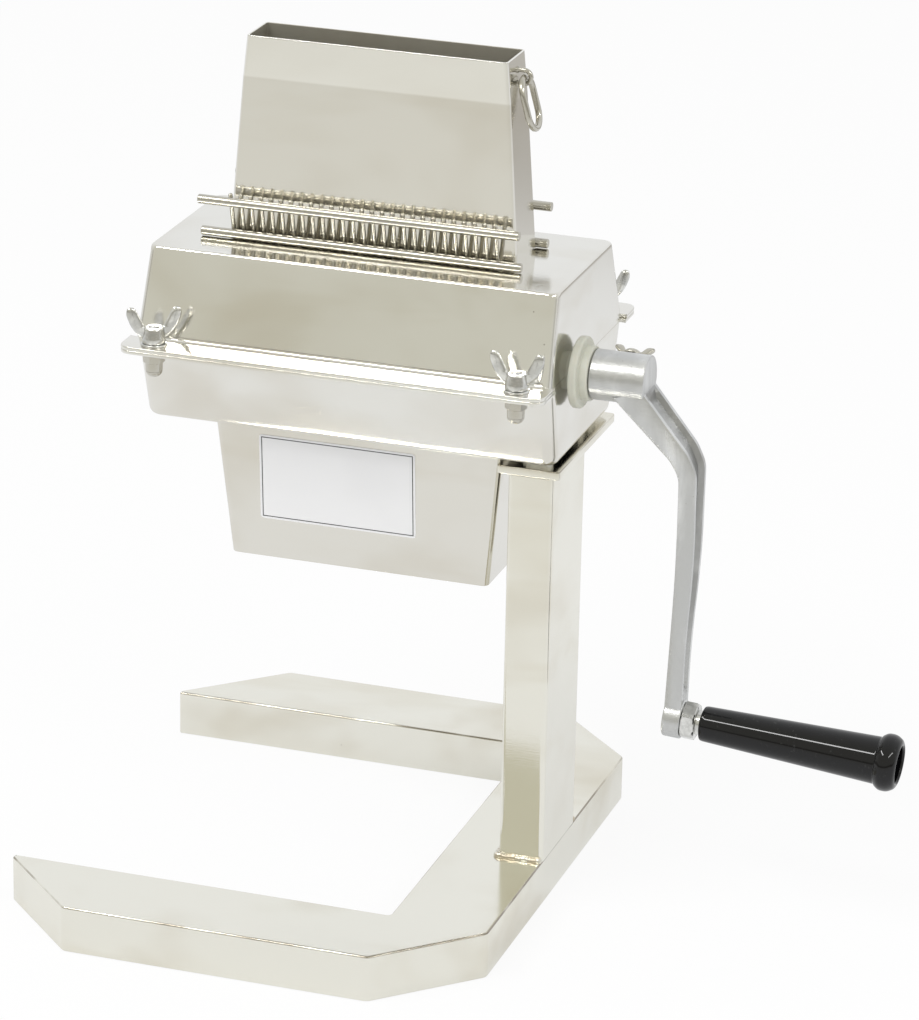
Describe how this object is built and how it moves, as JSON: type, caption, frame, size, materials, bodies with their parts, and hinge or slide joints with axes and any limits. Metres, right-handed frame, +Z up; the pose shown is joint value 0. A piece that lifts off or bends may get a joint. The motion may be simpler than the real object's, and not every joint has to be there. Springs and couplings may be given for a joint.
{
  "type": "hand-cranked meat tenderizer",
  "caption": "Hand-cranked meat tenderizer on a C-shaped stand, with feed chute, bolted roller housing, lift-out combs and a bent crank.",
  "frame": {"origin": "on the floor, on the axis of the post, in the underside of the stand's cross bar", "axes": "+X along the rollers, towards the crank; +Y to the back of the machine; +Z up"},
  "size_m": [0.4519, 0.341, 0.4511],
  "materials": {
    "polished_steel": "polished sheet",
    "brushed_steel": "satin",
    "zinc_steel": "zinc plated",
    "cast_aluminium": "satin casting",
    "white_nylon": "matt, turned",
    "black_grip": "glossy"
  },
  "bodies": {
    "base": {"base_foot": "brushed_steel", "post": "brushed_steel", "post_weld": "brushed_steel", "saddle_plate": "brushed_steel", "saddle_spacers": "zinc_steel", "saddle_screws": "zinc_steel", "saddle_nuts": "zinc_steel", "lower_housing": "polished_steel", "discharge_chute": "polished_steel", "cover": "polished_steel", "feed_chute": "polished_steel", "ring_eye": "brushed_steel", "studs": "zinc_steel", "washers": "zinc_steel", "cap_nuts": "brushed_steel", "bearing_plate_left": "white_nylon", "bearing_plate_right": "white_nylon", "crank_bushing": "white_nylon"},
    "crank": {"drive_shaft": "brushed_steel", "drive_blades": "brushed_steel", "drive_spacers": "brushed_steel", "drive_gear": "white_nylon", "drive_gear_pin": "brushed_steel", "crank_arm": "cast_aluminium", "grip_bolt": "zinc_steel", "grip_nut": "zinc_steel"},
    "driven_roller": {"driven_shaft": "brushed_steel", "driven_blades": "brushed_steel", "driven_spacers": "brushed_steel", "driven_gear": "white_nylon", "driven_gear_pin": "brushed_steel"},
    "grip_body": {"grip": "black_grip"},
    "thumb": {"thumb_screw": "brushed_steel"},
    "ring": {"pull_ring": "brushed_steel"},
    "comb_front": {"front_comb": "brushed_steel"},
    "comb_rear": {"rear_comb": "brushed_steel"},
    "nut_front_left": {"wing_nut_front_left": "zinc_steel"},
    "nut_front_right": {"wing_nut_front_right": "zinc_steel"},
    "nut_back_left": {"wing_nut_back_left": "zinc_steel"},
    "nut_back_right": {"wing_nut_back_right": "zinc_steel"}
  },
  "joints": [
    {"name": "crank_turn", "type": "hinge", "parent": "base", "child": "crank", "pos_m": [0, -0.0075, 0.2953], "axis": [1, 0, 0], "continuous": true},
    {"name": "driven_turn", "type": "hinge", "parent": "base", "child": "driven_roller", "pos_m": [0, 0.0495, 0.2953], "axis": [1, 0, 0], "continuous": true},
    {"name": "grip_turn", "type": "hinge", "parent": "crank", "child": "grip_body", "pos_m": [0.0813, -0.0075, 0.1103], "axis": [0.9977, 0, -0.0671], "continuous": true},
    {"name": "thumb_screw_turn", "type": "hinge", "parent": "crank", "child": "thumb", "pos_m": [0.04303, -0.0075, 0.2953], "axis": [0, 0.848, 0.5299], "range_deg": [-5, 360]},
    {"name": "ring_swing", "type": "hinge", "parent": "base", "child": "ring", "pos_m": [-0.02435, 0.021, 0.4406], "axis": [0, -1, 0], "range_deg": [0, 140]},
    {"name": "front_comb_lift", "type": "slide", "parent": "base", "child": "comb_front", "axis": [0, 0, 1], "range_m": [0, 0.085]},
    {"name": "rear_comb_lift", "type": "slide", "parent": "base", "child": "comb_rear", "axis": [0, 0, 1], "range_m": [0, 0.085]},
    {"name": "wing_nut_front_left_turn", "type": "hinge", "parent": "base", "child": "nut_front_left", "pos_m": [-0.199, -0.0538, 0.2953], "axis": [0, 0, 1], "range_deg": [-5, 360]},
    {"name": "wing_nut_front_right_turn", "type": "hinge", "parent": "base", "child": "nut_front_right", "pos_m": [-0.001, -0.0538, 0.2953], "axis": [0, 0, 1], "range_deg": [-5, 360]},
    {"name": "wing_nut_back_left_turn", "type": "hinge", "parent": "base", "child": "nut_back_left", "pos_m": [-0.199, 0.0958, 0.2953], "axis": [0, 0, 1], "range_deg": [-5, 360]},
    {"name": "wing_nut_back_right_turn", "type": "hinge", "parent": "base", "child": "nut_back_right", "pos_m": [-0.001, 0.0958, 0.2953], "axis": [0, 0, 1], "range_deg": [-5, 360]}
  ],
  "couplings": [
    {"joint": "driven_turn", "follows": "crank_turn", "ratio": -1}
  ]
}
